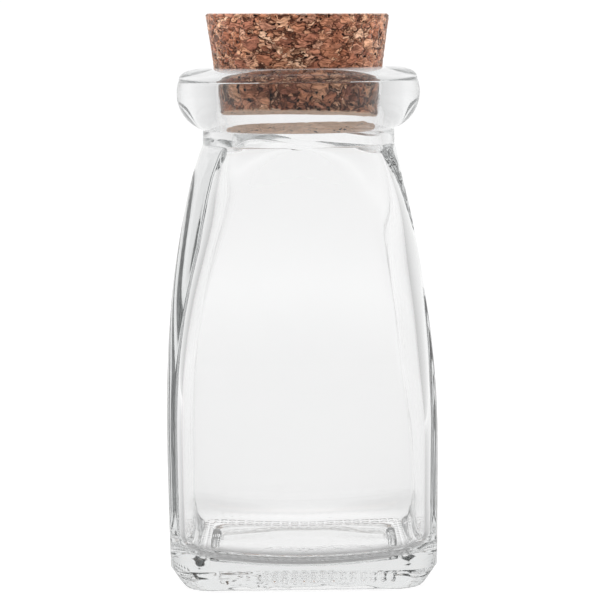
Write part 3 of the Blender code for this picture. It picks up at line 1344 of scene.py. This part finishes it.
@dataclass
class Studio:
    """White sweep, soft lamps and the camera."""

    distance: float = 441.4 * MM
    aim_height: float = 49.34 * MM
    aim_side: float = -0.13 * MM
    pitch: float = math.radians(6.84)
    roll: float = math.radians(0.7)
    lens: float = 144.0
    sensor: float = 36.0
    near_clip: float = 10.0 * MM
    lamp_energy: float = 3.6
    lamps: tuple[SoftBox, ...] = (
        SoftBox("left_softbox", (-0.7, 0.1, 0.35), 0.5, 1.0),
        SoftBox("right_softbox", (0.7, 0.1, 0.35), 0.5, 0.8),
        SoftBox("top_softbox", (0.0, -0.2, 0.8), 0.6, 0.4),
    )
    white: float = 1.04
    sky: float = 0.85
    flags: Table = (
        (-1.0, 0.16),
        (-0.4, 0.33),
        (0.1, 0.58),
        (0.5, 0.74),
        (0.9, 0.88),
        (1.0, 1.0),
    )
    shortest: float = 0.03 * MM
    floor_half: float = 3.0
    floor_sides: int = 96
    paper: float = 0.2
    # Painted shade: how far the floor's glow, as the glass shows it, is lowered near the bottle.
    painted_near_shade: float = 0.165
    near_reach: Step = (0.1, 0.7)
    under_reach: Step = (24 * MM, 39 * MM)
    # Painted shadow: where and how deep the glow under the bottle's front is darkened.
    front_reach: Step = (-18 * MM, -3 * MM)
    front_shade: float = 0.35
    bounces: int = 32
    glossy_bounces: int = 24

    @staticmethod
    def glow(nodes: Nodes, white: object, beside: object, given: object) -> bpy.types.NodeSocket:
        """What the studio shows to the camera, to the glass, and to the matt surfaces it lights.

        Args:
            nodes: The tree to lay the nodes in.
            white: Brightness seen by the camera.
            beside: Brightness that the glass has bent or mirrored.
            given: Brightness that a matt surface gathers, through glass or not.

        Returns:
            The brightness.
        """
        light = nodes.add("ShaderNodeLightPath")
        gathered = nodes.math("MINIMUM", light.outputs["Diffuse Depth"], 1.0)
        shown = nodes.mixed(light.outputs["Is Camera Ray"], beside, white)
        return nodes.mixed(gathered, shown, given)

    def surroundings(self, nodes: Nodes, across: bpy.types.Node) -> bpy.types.NodeSocket:
        """How light the studio is, with dark flags beside the bottle and a dim room before it.

        Args:
            nodes: The tree to lay the nodes in.
            across: The direction or place, split into its coordinates.

        Returns:
            The brightness, 1 straight behind the bottle.
        """
        squares = [nodes.math("POWER", across.outputs[axis], 2.0) for axis in (0, 1)]
        length = nodes.math("SQRT", nodes.math("ADD", *squares))
        length = nodes.math("MAXIMUM", length, self.shortest)
        behind = nodes.math("DIVIDE", across.outputs[1], length)
        stops = tuple(((place + 1) / 2, (level,) * 3) for place, level in self.flags)
        share = nodes.math("MULTIPLY_ADD", behind, 0.5, 0.5)
        return nodes.add("ShaderNodeSeparateColor", in_0=nodes.ramp(share, stops)).outputs[0]

    def floor_material(self) -> bpy.types.Material:
        """Builds the floor's material.

        Returns:
            Matt paper that keeps a shadow, with a glow that lifts it to the backdrop's white, and in
            what the glass shows a painted shade near the bottle and a painted shadow under its front.
        """
        made, nodes = new_finish("studio_floor_finish")
        paper = nodes.add("ShaderNodeBsdfDiffuse", in_Color=(*(self.paper,) * 3, 1.0))
        place = nodes.add("ShaderNodeTexCoord").outputs["Object"]
        across = nodes.split(place)
        away = nodes.vector("LENGTH", place).outputs["Value"]
        level = self.white - self.paper * self.sky
        # Painted shade: the glow that the glass shows is lowered near the bottle, fading out from
        # near_reach's first distance to its second.
        own = nodes.spread(away, *self.near_reach, level - self.painted_near_shade, level)
        beside = nodes.math("MULTIPLY", own, self.surroundings(nodes, across))
        # Painted shadow: under the bottle the glow that the glass shows falls to front_shade of its
        # level towards the front, as the shadow that the bottle throws forward.
        shaded = level * self.front_shade
        front = nodes.spread(across.outputs[1], *self.front_reach, shaded, level)
        beyond = nodes.spread(away, *self.under_reach, 0.0, 1.0)
        strength = self.glow(nodes, level, nodes.mixed(beyond, front, beside), self.sky)
        glow = nodes.add("ShaderNodeEmission", in_Color=WHITE, in_Strength=strength)
        both = nodes.add("ShaderNodeAddShader", in_0=paper, in_1=glow)
        nodes.add("ShaderNodeOutputMaterial", in_Surface=both)
        return made

    def floor(self) -> bpy.types.Object:
        """Lays the pale floor, which keeps the object's shadow.

        Returns:
            The floor, a round sheet.
        """
        mesh = bmesh.new()
        sides, radius = self.floor_sides, self.floor_half
        bmesh.ops.create_circle(mesh, cap_ends=True, segments=sides, radius=radius)
        floor = finished("studio_floor", mesh)
        floor.data.materials.append(self.floor_material())
        return floor

    def world(self) -> None:
        """White surroundings, softer for the light that they give."""
        world = bpy.data.worlds.new("white_studio")
        bpy.context.scene.world = world
        world.use_nodes = True
        nodes = Nodes(world.node_tree)
        across = nodes.split(nodes.add("ShaderNodeTexCoord").outputs["Generated"])
        beside = nodes.math("MULTIPLY", self.surroundings(nodes, across), self.white)
        strength = self.glow(nodes, self.white, beside, self.sky)
        back = nodes.add("ShaderNodeBackground", in_Color=WHITE, in_Strength=strength)
        nodes.add("ShaderNodeOutputWorld", in_Surface=back)

    def lamp(self, box: SoftBox) -> bpy.types.Object:
        """Hangs a soft lamp that faces the bottle.

        Args:
            box: What the lamp is.

        Returns:
            The lamp, which shows neither to the camera nor in the glass.
        """
        data = bpy.data.lights.new(box.name, "AREA")
        data.size = box.size
        data.energy = self.lamp_energy * box.share
        lamp = linked(box.name, data)
        place = Vector(box.place)
        lamp.location = place
        facing = Vector((0, 0, self.aim_height)) - place
        lamp.rotation_euler = facing.to_track_quat("-Z", "Y").to_euler()
        lamp.visible_camera = False
        lamp.visible_glossy = False
        lamp.visible_transmission = False
        return lamp

    def camera(self) -> bpy.types.Object:
        """Sets up the camera, at the height of the cork's top and a little askew.

        Returns:
            The camera, which the scene looks through.
        """
        data = bpy.data.cameras.new("view")
        data.lens = self.lens
        data.sensor_width = self.sensor
        data.clip_start = self.near_clip
        camera = linked("view", data)
        aim = Vector((self.aim_side, 0, self.aim_height))
        back = Vector((0, -math.cos(self.pitch), math.sin(self.pitch)))
        turn = (-back).to_track_quat("-Z", "Y").to_matrix() @ Matrix.Rotation(-self.roll, 3, "Z")
        camera.matrix_world = Matrix.Translation(aim + back * self.distance) @ turn.to_4x4()
        bpy.context.scene.camera = camera
        return camera

    def build(self) -> None:
        """Sets up everything that isn't the object."""
        self.floor()
        self.world()
        for box in self.lamps:
            self.lamp(box)
        self.camera()
        scene = bpy.context.scene
        scene.view_settings.view_transform = "Standard"
        scene.cycles.max_bounces = self.bounces
        scene.cycles.glossy_bounces = self.glossy_bounces
        scene.cycles.transmission_bounces = self.bounces


def main() -> None:
    """Builds the pieces and the studio, and reports each piece."""
    logging.basicConfig(level=logging.INFO, format="%(name)s: %(message)s")
    glass_low, glass_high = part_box("glass_bottle")
    cork_low, cork_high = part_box("cork_stopper")
    makers = (
        GlassBottle(glass_high.z - glass_low.z, glass_high.x - glass_low.x, ClearGlass()),
        CorkStopper(cork_low, cork_high, AgglomeratedCork()),
    )
    for maker in makers:
        piece = maker.build()
        LOG.info("%s has %d faces", piece.name, len(piece.data.polygons))
    Studio().build()


if __name__ == "__main__":
    main()
